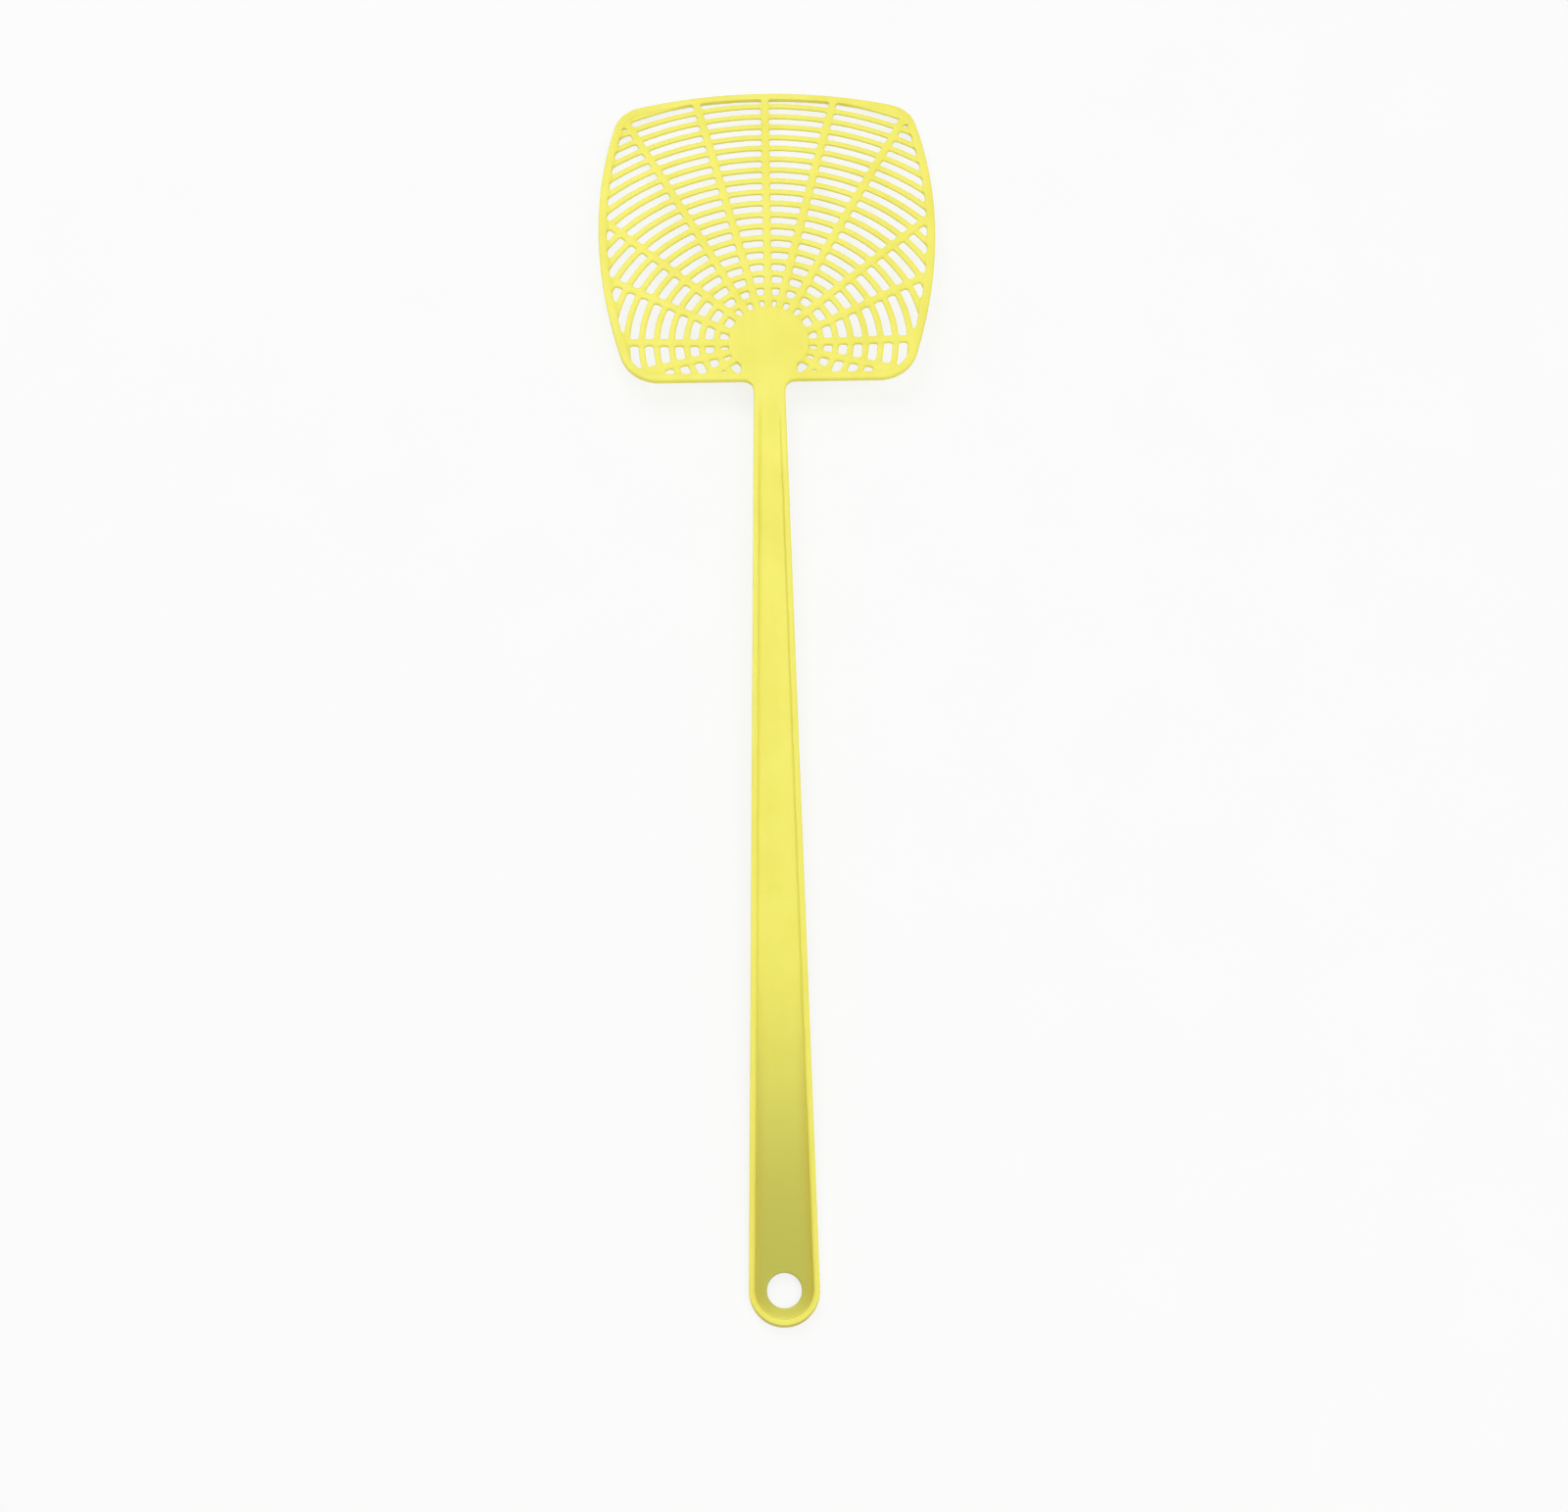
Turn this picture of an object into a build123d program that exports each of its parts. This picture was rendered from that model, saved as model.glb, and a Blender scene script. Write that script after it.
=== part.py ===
from build123d import *
import os
from math import cos, radians, sin, sqrt

# A fly swatter of the one-piece kind: a tapered handle with a raised border all round and a
# hanging hole at its end, a round hub plate, and a flat squarish head with a web of
# rings and spokes inside a rim. The real one is a single moulding. Here each feature of
# it is a solid of its own, and the solids meet face to face where the features join.
#
# It lies face up: X is across, Y runs from the handle's end to the head's tip, Z is up.
# Outlines are drawn about the hub's centre, as (across, towards the tip), and the whole
# swatter is arched a little in the Y-Z plane, highest at the hub.
# All sizes are in millimetres, and angles are in degrees from +Y, clockwise from above.

# ---- Head ----
head_width = 120.0          # at the widest place
head_reach = 112.4          # hub centre to the tip
widest_reach = 52.0         # hub centre to the widest place
heel_reach = 16.0           # hub centre to the head's straight edge beside the neck
tip_radius = 168.0          # the tip edge is an arc
side_radius = 198.0         # so are the two sides
tip_corner = 13.0
heel_corner = 14.0
rim_width = 3.0
rim_depth = 2.0             # and through the hub and neck

# ---- Web ----
web_depth = 1.3             # through a spoke
spoke_proud = 0.2           # a spoke's face above the rings' faces
spoke_width = 2.8
ring_count = 19
first_ring_radius = 18.1    # middle of the innermost ring
ring_pitch = 5.2
ring_width = 2.3
spoke_foot_radius = 15.5    # where the exit angles below are measured
# Each pair of spokes: the angle where it leaves the hub, and the direction it runs in.
spoke_runs = [
    (15.3, 12.8),
    (32.1, 26.4),
    (49.1, 47.7),
    (72.4, 62.0),
    (92.0, 88.6),
    (107.3, 103.8),
    (121.9, 124.5),
]

# ---- Hub and neck ----
hub_radius = 13.9
shoulder_width = 19.6       # solid stretch of the heel edge, under the hub
neck_width = 11.0
neck_reach = 24.0           # hub centre to the handle's first section
neck_fillet = 3.6

# ---- Handle ----
hole_reach = 325.5          # hub centre to the hanging hole's centre
hole_radius = 5.15
end_radius = 10.6           # the round end, about the hole's centre
border_width = 2.0
handle_depth = 3.2          # over the borders
floor_depth = 1.2           # the thin plate between the borders

# ---- Arch ----
crown = 9.5                 # height of the middle surface at the hub
margin = 10.0               # how far construction solids run past the swatter

# The handle's end and the head's tip both rest at height 0, and that sets the two arcs.
handle_reach = hole_reach + end_radius
hub_y = (handle_reach - head_reach) / 2
hub_plane = Plane((0, hub_y, -margin))
prism_height = crown + handle_depth + 2 * margin


def arc_radius(reach, depth):
    """Radius of the middle surface whose underside, depth / 2 below, is at height 0 at reach."""
    half = depth / 2
    return (crown**2 + reach**2 - half**2) / (2 * (crown - half))


handle_arc = arc_radius(handle_reach, handle_depth)
head_arc = arc_radius(head_reach, rim_depth)


def arch_point(reach, radius, height):
    """Point in the Y-Z plane, reach from the hub and height off the middle surface."""
    return (hub_y + reach, crown - radius + sqrt((radius + height) ** 2 - reach**2))


def arched_layer(low, high):
    """Slab between two heights off the middle surface, wider and longer than the swatter."""
    back = -handle_reach - margin
    front = head_reach + margin
    with BuildPart() as layer:
        with BuildSketch(Plane.YZ):
            with BuildLine():
                crest = {}
                for height in (low, high):
                    heel = arch_point(back, handle_arc, height)
                    heel_side = arch_point(back / 2, handle_arc, height)
                    top = arch_point(0, head_arc, height)
                    tip_side = arch_point(front / 2, head_arc, height)
                    tip = arch_point(front, head_arc, height)
                    ThreePointArc(heel, heel_side, top)
                    ThreePointArc(top, tip_side, tip)
                    crest[height] = (heel, tip)
                Line(crest[low][0], crest[high][0])
                Line(crest[low][1], crest[high][1])
            make_face()
        extrude(amount=head_width / 2 + margin, both=True)
    return layer.part


border_layer = arched_layer(-handle_depth / 2, handle_depth / 2)
floor_layer = arched_layer(-floor_depth / 2, floor_depth / 2)
rim_layer = arched_layer(-rim_depth / 2, rim_depth / 2)
ring_layer = arched_layer(-web_depth / 2, web_depth / 2 - spoke_proud)
strap_layer = arched_layer(web_depth / 2 - spoke_proud, web_depth / 2)

# ---- Outlines, about the hub's centre ----
def head_outline(inset):
    """The head's outline, drawn in by inset all round."""
    side_centre = side_radius - head_width / 2
    with BuildSketch() as outline:
        with Locations((0, head_reach - tip_radius)):
            Circle(tip_radius - inset)
        for centre in (-side_centre, side_centre):
            with Locations((centre, widest_reach)):
                Circle(side_radius - inset, mode=Mode.INTERSECT)
        with Locations((0, inset - heel_reach)):
            Rectangle(
                2 * head_width, 2 * head_reach, align=(Align.CENTER, Align.MIN), mode=Mode.INTERSECT
            )
        fillet(outline.vertices().group_by(Axis.Y)[-1], tip_corner - inset)
        fillet(outline.vertices().group_by(Axis.Y)[0], heel_corner - inset)
    return outline.sketch


head_plan = head_outline(0)
web_plan = head_outline(rim_width)

with BuildSketch() as hub_plan:
    with Locations((0, -heel_reach)):
        Rectangle(shoulder_width, heel_reach, align=(Align.CENTER, Align.MIN))
        Rectangle(neck_width, neck_reach - heel_reach, align=(Align.CENTER, Align.MAX))
    neck_roots = hub_plan.vertices().group_by(Axis.Y)[1].sort_by(Axis.X)[1:3]
    fillet(neck_roots, neck_fillet)
    Circle(hub_radius)


def finish(piece, name):
    """Names a finished piece and writes it."""
    piece.part.label = name
    export_step(piece.part, f"parts/{name}.step")


os.makedirs("parts", exist_ok=True)

# ---- Hub plate: the solid disc and the neck, as thick as the rim ----
with BuildPart() as hub_plate:
    with BuildSketch(hub_plane):
        add(hub_plan.sketch)
    extrude(amount=prism_height)
    add(rim_layer, mode=Mode.INTERSECT)
finish(hub_plate, "hub_plate")

# ---- Rim: a rail round the head, from one shoulder of the neck to the other ----
with BuildPart() as head_rim:
    with BuildSketch(hub_plane):
        add(head_plan)
        add(web_plan, mode=Mode.SUBTRACT)
        add(hub_plan.sketch, mode=Mode.SUBTRACT)
    extrude(amount=prism_height)
    add(rim_layer, mode=Mode.INTERSECT)
finish(head_rim, "head_rim")

# ---- Rings: one rib each, about the hub, ending at the rim ----
ring_radii = [first_ring_radius + index * ring_pitch for index in range(ring_count)]
for index, radius in enumerate(ring_radii):
    with BuildPart() as ring:
        with BuildSketch(hub_plane):
            Circle(radius + ring_width / 2)
            Circle(radius - ring_width / 2, mode=Mode.SUBTRACT)
            add(web_plan, mode=Mode.INTERSECT)
            add(hub_plan.sketch, mode=Mode.SUBTRACT)
        extrude(amount=prism_height)
        add(ring_layer, mode=Mode.INTERSECT)
    finish(ring, f"ring_{index:02d}")

# ---- Spokes: each is a strap over the rings, with a foot down into every gap between them ----
with BuildSketch() as ring_bands:
    for radius in reversed(ring_radii):
        Circle(radius + ring_width / 2)
        Circle(radius - ring_width / 2, mode=Mode.SUBTRACT)

spokes = [("spoke_centre", 0.0, 0.0)]
for number, (exit_angle, run_angle) in enumerate(spoke_runs, start=1):
    spokes.append((f"spoke_left_{number}", -exit_angle, -run_angle))
    spokes.append((f"spoke_right_{number}", exit_angle, run_angle))

# A spoke's bar starts inside the hub plate, which cuts it off at its edge.
bar_start = spoke_foot_radius - hub_radius + spoke_width
for name, exit_angle, run_angle in spokes:
    foot = (
        spoke_foot_radius * sin(radians(exit_angle)) - bar_start * sin(radians(run_angle)),
        spoke_foot_radius * cos(radians(exit_angle)) - bar_start * cos(radians(run_angle)),
    )
    with BuildSketch() as bar:
        with Locations(foot):
            Rectangle(
                spoke_width,
                head_reach + head_width,
                rotation=-run_angle,
                align=(Align.CENTER, Align.MIN),
            )
        add(web_plan, mode=Mode.INTERSECT)
        add(hub_plan.sketch, mode=Mode.SUBTRACT)
    with BuildPart() as feet:
        with BuildSketch(hub_plane):
            add(bar.sketch)
            add(ring_bands.sketch, mode=Mode.SUBTRACT)
        extrude(amount=prism_height)
        add(ring_layer, mode=Mode.INTERSECT)
    with BuildPart() as spoke:
        with BuildSketch(hub_plane):
            add(bar.sketch)
        extrude(amount=prism_height)
        add(strap_layer, mode=Mode.INTERSECT)
        add(feet.part)
    finish(spoke, name)

# ---- Handle: a thin floor between two side borders and a round end border ----
neck_half = neck_width / 2
with BuildPart() as handle_floor:
    with BuildSketch(hub_plane):
        with BuildLine():
            Polyline(
                (neck_half - border_width, -neck_reach),
                (end_radius - border_width, -hole_reach),
                (border_width - end_radius, -hole_reach),
                (border_width - neck_half, -neck_reach),
                close=True,
            )
        make_face()
        with Locations((0, -hole_reach)):
            Circle(end_radius - border_width)
            Circle(hole_radius, mode=Mode.SUBTRACT)
    extrude(amount=prism_height)
    add(floor_layer, mode=Mode.INTERSECT)
finish(handle_floor, "handle_floor")

for name, side in (("border_left", -1), ("border_right", 1)):
    with BuildPart() as border:
        with BuildSketch(hub_plane):
            with BuildLine():
                Polyline(
                    (side * (neck_half - border_width), -neck_reach),
                    (side * neck_half, -neck_reach),
                    (side * end_radius, -hole_reach),
                    (side * (end_radius - border_width), -hole_reach),
                    close=True,
                )
            make_face()
        extrude(amount=prism_height)
        add(border_layer, mode=Mode.INTERSECT)
    finish(border, name)

with BuildPart() as border_end:
    with BuildSketch(hub_plane):
        with Locations((0, -hole_reach)):
            Circle(end_radius)
            Circle(end_radius - border_width, mode=Mode.SUBTRACT)
            Rectangle(
                2 * end_radius, end_radius, align=(Align.CENTER, Align.MAX), mode=Mode.INTERSECT
            )
    extrude(amount=prism_height)
    add(border_layer, mode=Mode.INTERSECT)
finish(border_end, "border_end")
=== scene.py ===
import math
import bmesh
import bpy
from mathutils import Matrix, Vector


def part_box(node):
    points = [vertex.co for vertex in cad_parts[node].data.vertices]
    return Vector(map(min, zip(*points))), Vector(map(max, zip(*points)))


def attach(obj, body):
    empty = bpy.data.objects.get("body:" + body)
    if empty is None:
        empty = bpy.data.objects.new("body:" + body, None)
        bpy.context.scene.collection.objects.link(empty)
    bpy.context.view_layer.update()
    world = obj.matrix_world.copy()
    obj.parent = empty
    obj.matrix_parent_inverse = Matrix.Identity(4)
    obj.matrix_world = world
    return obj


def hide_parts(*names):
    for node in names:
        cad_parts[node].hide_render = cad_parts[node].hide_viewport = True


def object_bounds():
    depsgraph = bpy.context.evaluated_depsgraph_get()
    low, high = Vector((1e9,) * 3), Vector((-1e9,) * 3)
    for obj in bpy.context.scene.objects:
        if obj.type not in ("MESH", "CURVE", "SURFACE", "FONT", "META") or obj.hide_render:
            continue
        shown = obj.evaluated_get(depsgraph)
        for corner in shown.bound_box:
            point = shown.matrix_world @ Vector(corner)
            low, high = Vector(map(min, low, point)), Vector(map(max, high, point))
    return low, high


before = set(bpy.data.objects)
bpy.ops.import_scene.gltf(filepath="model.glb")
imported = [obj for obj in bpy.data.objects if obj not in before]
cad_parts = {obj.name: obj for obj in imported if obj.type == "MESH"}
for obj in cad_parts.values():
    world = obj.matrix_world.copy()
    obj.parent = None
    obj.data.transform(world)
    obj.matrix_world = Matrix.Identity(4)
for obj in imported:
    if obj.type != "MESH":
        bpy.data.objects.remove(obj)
cad_low, cad_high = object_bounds()

# The swatter lies face up on the floor: X across, Y from the handle's end to the head's tip.
# Everything is in metres, except that the moulding is worked in millimetres while it is flat.
MM = 0.001

# ---- What the frame says about the swatter's arch ----
HANDLE_DEPTH = 3.2 * MM     # over the handle's borders
RIM_DEPTH = 2.0 * MM        # and through the hub and neck

_, ring_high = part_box("ring_00")
hub_low, hub_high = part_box("hub_plate")
_, floor_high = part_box("handle_floor")
_, end_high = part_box("border_end")
_, left_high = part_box("border_left")
hub_y = ring_high.y - ring_high.x       # ring_00 is round, about the hub's centre
crown = hub_high.z - RIM_DEPTH / 2
handle_reach = hub_y - cad_low.y
head_reach = cad_high.y - hub_y


def arc_radius(reach, depth):
    """Radius of the middle surface whose underside, depth / 2 below, meets the floor at reach."""
    half = depth / 2
    return (crown**2 + reach**2 - half**2) / (2 * (crown - half))


handle_arc = arc_radius(handle_reach, HANDLE_DEPTH)
head_arc = arc_radius(head_reach, RIM_DEPTH)


def arc_at(y):
    """Reach from the hub and the arc's radius, for a place along the swatter."""
    return y - hub_y, head_arc if y > hub_y else handle_arc


def flattened(point):
    """A point of the arched swatter, with its height off the arched middle surface as its z."""
    reach, radius = arc_at(point.y)
    height = math.hypot(point.z - crown + radius, reach) - radius
    return Vector((point.x, point.y, height))


def arched(point):
    """The reverse of flattened."""
    reach, radius = arc_at(point.y)
    z = crown - radius + math.sqrt((radius + point.z) ** 2 - reach**2)
    return Vector((point.x, point.y, z))


# ---- The handle's outline ----
neck_y = hub_low.y
hole_y = end_high.y
end_radius = end_high.x
border_width = end_radius - floor_high.x
neck_half = border_width - left_high.x  # left_high.x is the left border's inner edge at the neck


def handle_share(y):
    """How far along the handle y is: 0 at the neck, 1 at the hanging hole."""
    return (neck_y - y) / (neck_y - hole_y)


def depth_inside(x, y):
    """How far a place on the handle lies inside its outer edge."""
    if y < hole_y:
        return end_radius - math.hypot(x, y - hole_y)
    return neck_half + (end_radius - neck_half) * handle_share(y) - abs(x)


def smooth_step(start, end, value):
    """0 up to start, 1 past end, and an even curve between."""
    share = min(max((value - start) / (end - start), 0.0), 1.0)
    return share * share * (3 - 2 * share)


# ---- Materials ----
PLASTIC_STOPS = [
    (0.32, (0.86, 0.80, 0.1)),
    (0.52, (0.90, 0.845, 0.125)),
    (0.72, (0.925, 0.875, 0.15)),
]
# Painted shade: colours that the handle's recess floor and the creases beside its borders are
# darkened towards
FLOOR_SHADE_TINT = (0.53, 0.515, 0.062)
CREASE_SHADE_TINT = (0.56, 0.46, 0.04)
FLOW_SHARE = 0.45           # of the lengthwise streaks in the mottling, against the clouds
ROUGHNESS = (0.36, 0.56)
PAPER_STOPS = [(0.3, (0.87, 0.87, 0.87)), (0.7, (0.9, 0.9, 0.9))]
PAPER_GLOW = 0.8            # share of plain white in the paper, where it is seen


def node_maker(tree):
    """A function that adds a node to tree and sets its inputs or properties."""
    def node(kind, **settings):
        made = tree.nodes.new(kind)
        for key, value in settings.items():
            if key in made.inputs:
                made.inputs[key].default_value = value
            else:
                setattr(made, key, value)
        return made

    return node


def new_material(name):
    """A node material, its links, its shader and a function that adds nodes to it."""
    material = bpy.data.materials.new(name)
    material.use_nodes = True
    tree = material.node_tree
    return material, tree.links, tree.nodes["Principled BSDF"], node_maker(tree)


def noise(node, links, scale, detail, stretch=(1, 1, 1)):
    """Noise over the object's own coordinates, scale in features per metre."""
    place = node("ShaderNodeTexCoord")
    mapping = node("ShaderNodeMapping")
    mapping.inputs["Scale"].default_value = stretch
    made = node("ShaderNodeTexNoise", Scale=scale, Detail=detail)
    links.new(place.outputs["Object"], mapping.inputs["Vector"])
    links.new(mapping.outputs["Vector"], made.inputs["Vector"])
    return made.outputs["Fac"]


def ramp(node, links, source, stops):
    """A colour ramp over source; stops are (place, colour)."""
    made = node("ShaderNodeValToRGB")
    elements = made.color_ramp.elements
    while len(elements) < len(stops):
        elements.new(0.5)
    for element, (place, colour) in zip(elements, stops):
        element.position = place
        element.color = (*colour, 1)
    links.new(source, made.inputs["Fac"])
    return made.outputs["Color"]


def plastic_material():
    """Yellow polyethylene: faint cloudy mottling, semi-matte, with a fine moulded skin.

    Painted shade darkens the floor towards the handle's end and the creases beside its borders.
    """
    material, links, shader, node = new_material("yellow_polyethylene")
    cloud = noise(node, links, scale=70, detail=6)
    flow = noise(node, links, scale=45, detail=4, stretch=(3, 0.35, 3))
    blend = node("ShaderNodeMix", data_type="FLOAT")
    blend.inputs["Factor"].default_value = FLOW_SHARE
    links.new(cloud, blend.inputs["A"])
    links.new(flow, blend.inputs["B"])
    colour = ramp(node, links, blend.outputs["Result"], PLASTIC_STOPS)
    # Painted shade on the handle's recess floor and in its creases, mixed over the plastic's
    # colour
    for attribute, tint in (("painted_floor_shade", FLOOR_SHADE_TINT), ("painted_crease_shade", CREASE_SHADE_TINT)):
        share = node("ShaderNodeAttribute", attribute_name=attribute)
        tinted = node("ShaderNodeMix", data_type="RGBA")
        links.new(share.outputs["Fac"], tinted.inputs["Factor"])
        links.new(colour, tinted.inputs["A"])
        tinted.inputs["B"].default_value = (*tint, 1)
        colour = tinted.outputs["Result"]
    links.new(colour, shader.inputs["Base Color"])
    sheen_patches = noise(node, links, scale=160, detail=5)
    roughness = node("ShaderNodeMapRange")
    roughness.inputs["To Min"].default_value = ROUGHNESS[0]
    roughness.inputs["To Max"].default_value = ROUGHNESS[1]
    links.new(sheen_patches, roughness.inputs["Value"])
    links.new(roughness.outputs["Result"], shader.inputs["Roughness"])
    grain = noise(node, links, scale=2600, detail=3)
    bump = node("ShaderNodeBump")
    bump.inputs["Strength"].default_value = 0.06
    bump.inputs["Distance"].default_value = 0.2 * MM
    links.new(grain, bump.inputs["Height"])
    links.new(bump.outputs["Normal"], shader.inputs["Normal"])
    shader.inputs["IOR"].default_value = 1.5
    shader.inputs["Subsurface Weight"].default_value = 0.25
    shader.inputs["Subsurface Radius"].default_value = (1.0, 0.85, 0.2)
    shader.inputs["Subsurface Scale"].default_value = 1.2 * MM
    return material


def where_seen(node, links, unseen, seen):
    """Gives seen to rays that show a surface, straight or in gloss or glass, else unseen."""
    rays = node("ShaderNodeLightPath")
    shown = rays.outputs["Is Camera Ray"]
    for kind in ("Is Glossy Ray", "Is Transmission Ray"):
        either = node("ShaderNodeMath", operation="MAXIMUM")
        links.new(shown, either.inputs[0])
        links.new(rays.outputs[kind], either.inputs[1])
        shown = either.outputs["Value"]
    choice = node("ShaderNodeMapRange")
    choice.inputs["To Min"].default_value = unseen
    choice.inputs["To Max"].default_value = seen
    links.new(shown, choice.inputs["Value"])
    return choice.outputs["Result"]


def floor_material():
    """Plain white studio paper, which glows where it is seen but still takes the shadow."""
    material, links, shader, node = new_material("studio_white")
    shader.inputs["Roughness"].default_value = 0.8
    fibres = noise(node, links, scale=30, detail=4)
    colour = ramp(node, links, fibres, PAPER_STOPS)
    links.new(colour, shader.inputs["Base Color"])
    glow = node("ShaderNodeEmission", Strength=1.0)
    mix = node("ShaderNodeMixShader")
    output = material.node_tree.nodes["Material Output"]
    links.new(where_seen(node, links, 0, PAPER_GLOW), mix.inputs["Fac"])
    links.new(shader.outputs["BSDF"], mix.inputs[1])
    links.new(glow.outputs["Emission"], mix.inputs[2])
    links.new(mix.outputs["Shader"], output.inputs["Surface"])
    return material


# ---- The moulding: all the frame's pieces run into one soft-edged skin ----
WELD = 0.001 * MM           # vertices of a piece that are nearer than this are joined
SKIN_OVERLAP = 0.10         # mm that each piece is swelled by, so that neighbours run together
VOXEL = 0.4      # mm
SMOOTHING_PASSES = 3
RAMP_LENGTH = 18.0          # mm that the handle's recess takes to reach its full depth
RAMP_ROOT = 1.0             # mm that its ramp reaches back into the neck
BORDER_RISE = 40.0          # mm that its borders take to rise from the neck's face
RISE_CUTS = 16
FLOOR_SHADE_REACH = (0.63, 0.98)   # shares of the handle's length between which painted shade darkens its floor
FLOOR_FADE = 0.9 * MM       # from a border's inner edge to the floor's full painted shade
END_SHADE_LOSS = 0.6              # share of the floor's painted shade that is lost past the hanging hole
CREASE_INSET = 0.3 * MM     # from a border's inner edge to the darkest line of a crease's painted shade
CREASE_RISE = 0.8 * MM      # its fade from there towards the border
CREASE_SPREAD = 1.9 * MM    # and towards the middle of the floor
CREASE_START = 0.12         # share of the handle's length over which the creases' painted shade appears
# Strength of the creases' painted shade at the neck and at the handle's end
CREASE_AT_NECK = 0.06
CREASE_AT_END = 0.7
EDGE_SHADE_FADE = 0.5 * MM        # width of the painted shade along the outer edge round the handle's end


def rise_from_neck(piece):
    """Brings a flat handle piece down to the neck's depth, over BORDER_RISE."""
    start = neck_y / MM
    for cut in range(RISE_CUTS + 1):
        bmesh.ops.bisect_plane(
            piece,
            geom=piece.verts[:] + piece.edges[:] + piece.faces[:],
            plane_co=(0, start - BORDER_RISE * cut / RISE_CUTS, 0),
            plane_no=(0, 1, 0),
        )
    for vertex in piece.verts:
        share = smooth_step(0, BORDER_RISE, start - vertex.co.y)
        vertex.co.z *= (RIM_DEPTH + (HANDLE_DEPTH - RIM_DEPTH) * share) / HANDLE_DEPTH


def flat_copy(target, node):
    """Adds a frame node's mesh to target, flattened, in millimetres and slightly swelled."""
    piece = bmesh.new()
    piece.from_mesh(node.data)
    bmesh.ops.remove_doubles(piece, verts=piece.verts, dist=WELD)
    for vertex in piece.verts:
        vertex.co = flattened(vertex.co) / MM
    if node.name.startswith(("border_", "handle_")):
        rise_from_neck(piece)
    bmesh.ops.recalc_face_normals(piece, faces=piece.faces)
    piece.normal_update()
    swelled = [vertex.co + vertex.normal * SKIN_OVERLAP for vertex in piece.verts]
    for vertex, place in zip(piece.verts, swelled):
        vertex.co = place
    mesh = bpy.data.meshes.new("flat_piece")
    piece.to_mesh(mesh)
    piece.free()
    target.from_mesh(mesh)
    bpy.data.meshes.remove(mesh)


def add_ramp(target, side):
    """A wedge at the neck end of the recess, above (side 1) or below (side -1) its floor."""
    start = neck_y / MM
    wide = (neck_half - border_width / 2) / MM
    inner = 0.0
    outer = RIM_DEPTH / MM / 2
    root = start + RAMP_ROOT
    profile = [(root, inner), (root, outer), (start, outer), (start - RAMP_LENGTH, inner)]
    rings = []
    for x in (-wide, wide):
        rings.append([target.verts.new((x, y, side * z)) for y, z in profile])
    faces = [target.faces.new(rings[0]), target.faces.new(reversed(rings[1]))]
    for index in range(len(profile)):
        after = (index + 1) % len(profile)
        corners = (rings[0][after], rings[0][index], rings[1][index], rings[1][after])
        faces.append(target.faces.new(corners))
    bmesh.ops.recalc_face_normals(target, faces=faces)


def remeshed(mesh):
    """The union of a mesh's closed pieces as one soft-edged skin, drawn back by SKIN_OVERLAP."""
    blank = bpy.data.objects.new("blank", mesh)
    bpy.context.scene.collection.objects.link(blank)
    union = blank.modifiers.new("union", "REMESH")
    union.mode = "VOXEL"
    union.voxel_size = VOXEL
    soften = blank.modifiers.new("soften", "SMOOTH")
    soften.factor = 0.5
    soften.iterations = SMOOTHING_PASSES
    shrink = blank.modifiers.new("shrink", "DISPLACE")
    shrink.mid_level = 0
    shrink.strength = -SKIN_OVERLAP
    graph = bpy.context.evaluated_depsgraph_get()
    result = bpy.data.meshes.new_from_object(blank.evaluated_get(graph))
    bpy.data.objects.remove(blank)
    return result


def paint_recess_shade(skin):
    """Gives the material two shares of painted shade: on the recess's floor, growing towards the
    handle's end, and in its creases.

    The creases' painted shade runs beside the borders, and painted shade also lies under the
    outer edge of the handle's round end.
    """
    painted_floor_shade = skin.attributes.new("painted_floor_shade", "FLOAT", "POINT")
    painted_crease_shade = skin.attributes.new("painted_crease_shade", "FLOAT", "POINT")
    for index, vertex in enumerate(skin.vertices):
        x, y, _ = vertex.co
        if y > neck_y:
            continue
        along = handle_share(y)
        inside = depth_inside(x, y)
        past_hole = smooth_step(0, end_radius, hole_y - y)
        darkening = smooth_step(*FLOOR_SHADE_REACH, along)
        floor_share = smooth_step(0, FLOOR_FADE, inside - border_width)
        # Painted shade on the recess floor, growing towards the handle's end
        painted_floor_shade.data[index].value = floor_share * darkening * (1 - END_SHADE_LOSS * past_hole)
        # Painted shade in the creases beside the borders, where the recess's walls meet its floor
        off_centre = inside - border_width - CREASE_INSET
        off_centre /= CREASE_SPREAD if off_centre > 0 else CREASE_RISE
        strength = CREASE_AT_NECK * smooth_step(0, CREASE_START, along)
        strength += (CREASE_AT_END - CREASE_AT_NECK) * darkening
        strength *= 1 - past_hole
        # Painted shade under the outer edge of the handle's round end
        painted_edge_shade = past_hole * smooth_step(-EDGE_SHADE_FADE, 0, -inside)
        painted_crease_shade.data[index].value = max(math.exp(-off_centre * off_centre) * strength, painted_edge_shade)


def moulding():
    """The swatter's whole moulding, as one piece."""
    parts = bmesh.new()
    for name in sorted(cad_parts):
        flat_copy(parts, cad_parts[name])
    for side in (1, -1):
        add_ramp(parts, side)
    flat = bpy.data.meshes.new("flat_parts")
    parts.to_mesh(flat)
    parts.free()
    skin = remeshed(flat)
    skin.name = "swatter_moulding"
    for vertex in skin.vertices:
        vertex.co = arched(vertex.co * MM)
    paint_recess_shade(skin)
    skin.shade_smooth()
    piece = bpy.data.objects.new("swatter_moulding", skin)
    bpy.context.scene.collection.objects.link(piece)
    return piece


# ---- Studio ----
FLOOR_HALF = 4.0
WORLD_STRENGTH = 0.515      # where the world only lights; where it is seen it is plain white


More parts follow.
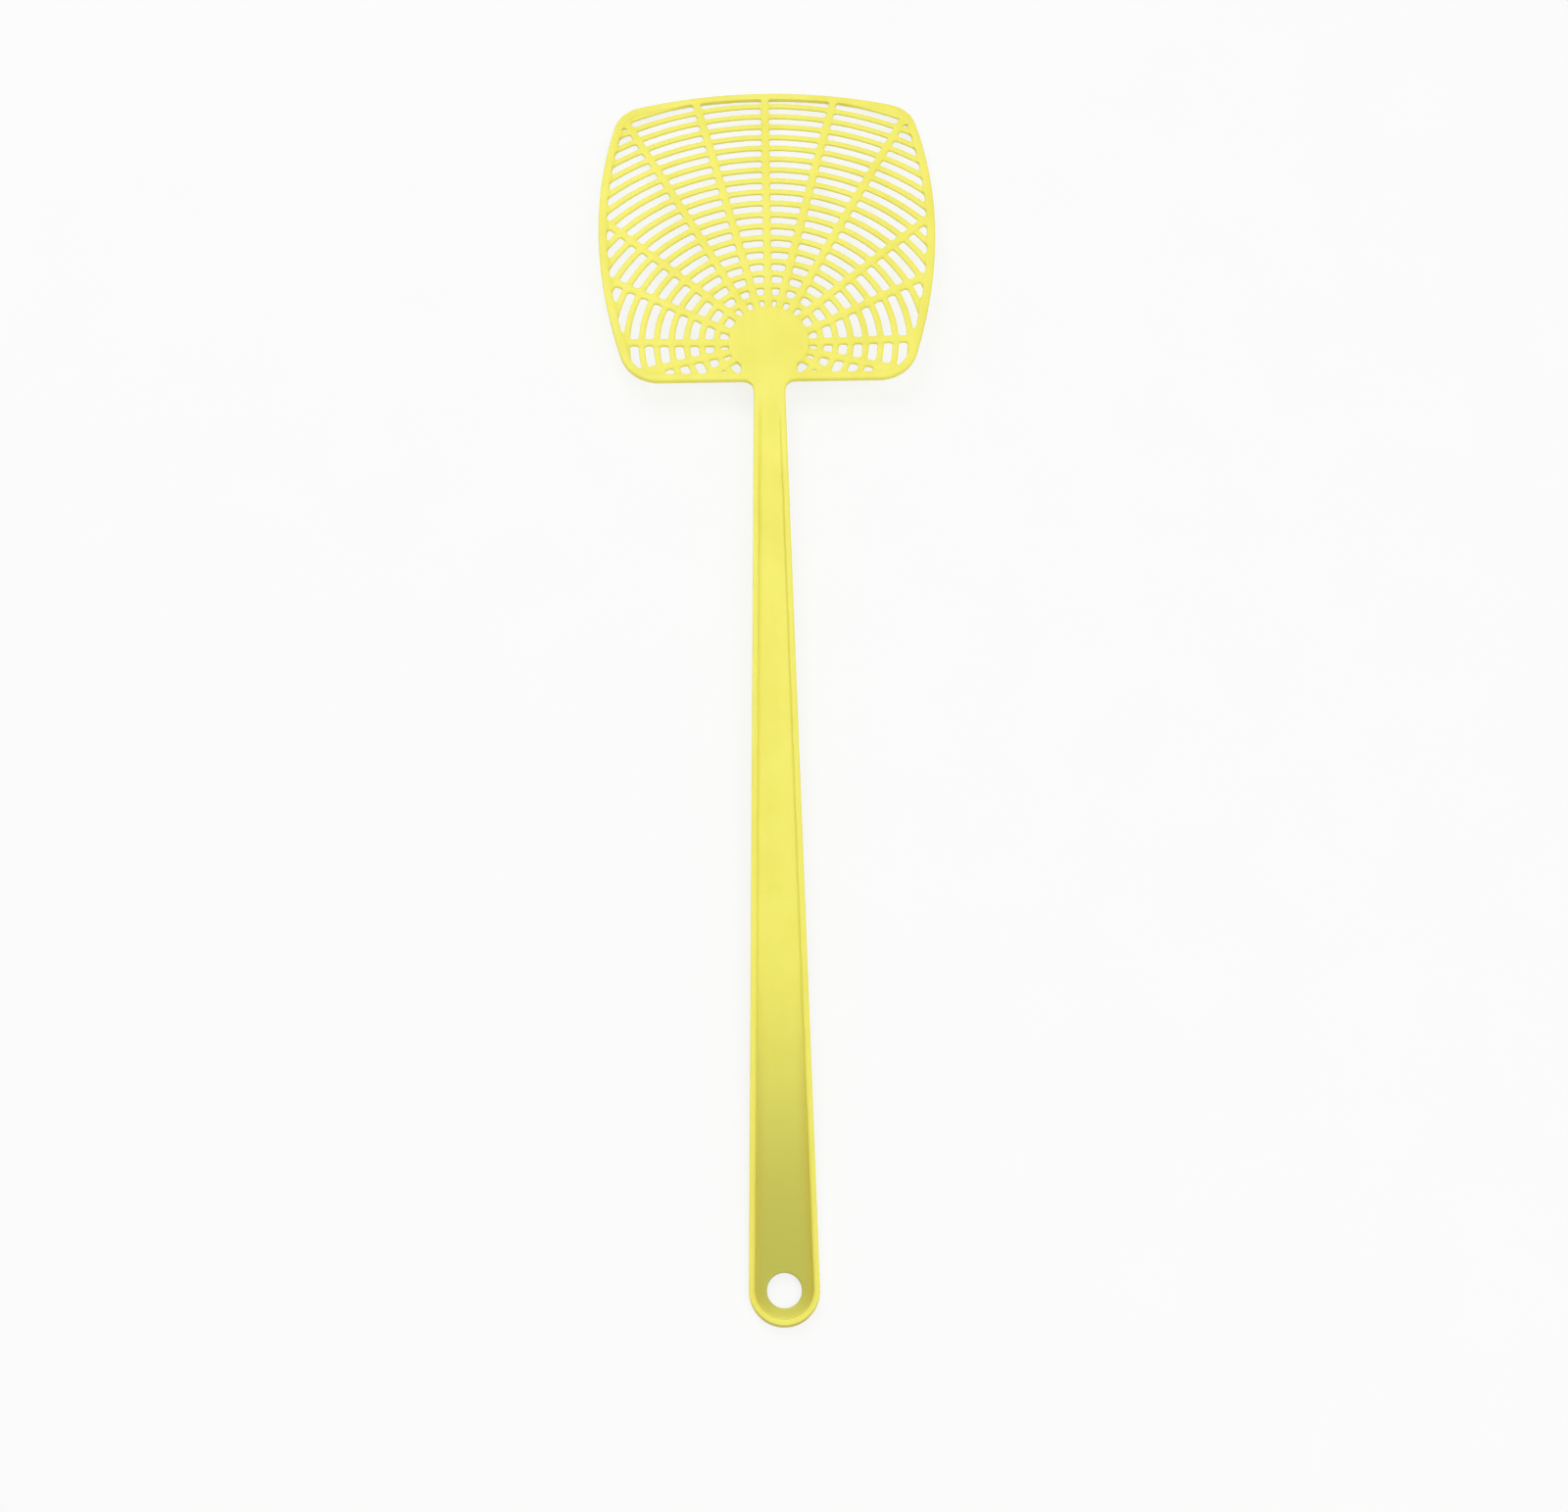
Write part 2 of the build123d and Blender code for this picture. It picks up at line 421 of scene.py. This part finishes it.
def area_light(name, place, target, size, power):
    """A square soft light at place, aimed at target."""
    light = bpy.data.lights.new(name, "AREA")
    light.shape = "SQUARE"
    light.size = size
    light.energy = power
    lamp = bpy.data.objects.new(name, light)
    lamp.location = place
    lamp.rotation_euler = (Vector(target) - Vector(place)).to_track_quat("-Z", "Y").to_euler()
    bpy.context.scene.collection.objects.link(lamp)


def studio():
    """A wide white floor under soft light, brightest over the head."""
    mesh = bpy.data.meshes.new("studio_floor")
    corners = [(-1, -1), (1, -1), (1, 1), (-1, 1)]
    places = [(x * FLOOR_HALF, y * FLOOR_HALF, 0) for x, y in corners]
    mesh.from_pydata(places, [], [(0, 1, 2, 3)])
    mesh.materials.append(floor_material())
    floor = bpy.data.objects.new("studio_floor", mesh)
    bpy.context.scene.collection.objects.link(floor)

    world = bpy.data.worlds.new("studio")
    world.use_nodes = True
    tree = world.node_tree
    background = tree.nodes["Background"]
    background.inputs["Color"].default_value = (1, 1, 1, 1)
    strength = where_seen(node_maker(tree), tree.links, WORLD_STRENGTH, 1)
    tree.links.new(strength, background.inputs["Strength"])
    bpy.context.scene.world = world

    target = (0, 0.1, 0)
    area_light("key_light", (-0.35, 0.75, 1.1), target, size=0.9, power=6.6)
    area_light("fill_light", (0.5, -0.5, 1.0), target, size=0.8, power=4)


def camera():
    """A camera above the floor past the handle's end, looking down at about 67 degrees."""
    aside = -0.00225
    behind_hub = 0.4513
    height = 0.7061
    down = math.radians(67.06)
    turn = math.radians(-0.96)
    lens = bpy.data.cameras.new("camera")
    lens.sensor_width = 36
    lens.lens = 54
    viewer = bpy.data.objects.new("camera", lens)
    viewer.location = (aside, hub_y - behind_hub, height)
    viewer.rotation_euler = (math.pi / 2 - down, 0, turn)
    bpy.context.scene.collection.objects.link(viewer)
    bpy.context.scene.camera = viewer


camera()
studio()

body = moulding()
body.data.materials.clear()
body.data.materials.append(plastic_material())
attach(body, "root")
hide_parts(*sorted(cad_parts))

bpy.context.scene.view_settings.view_transform = "Standard"
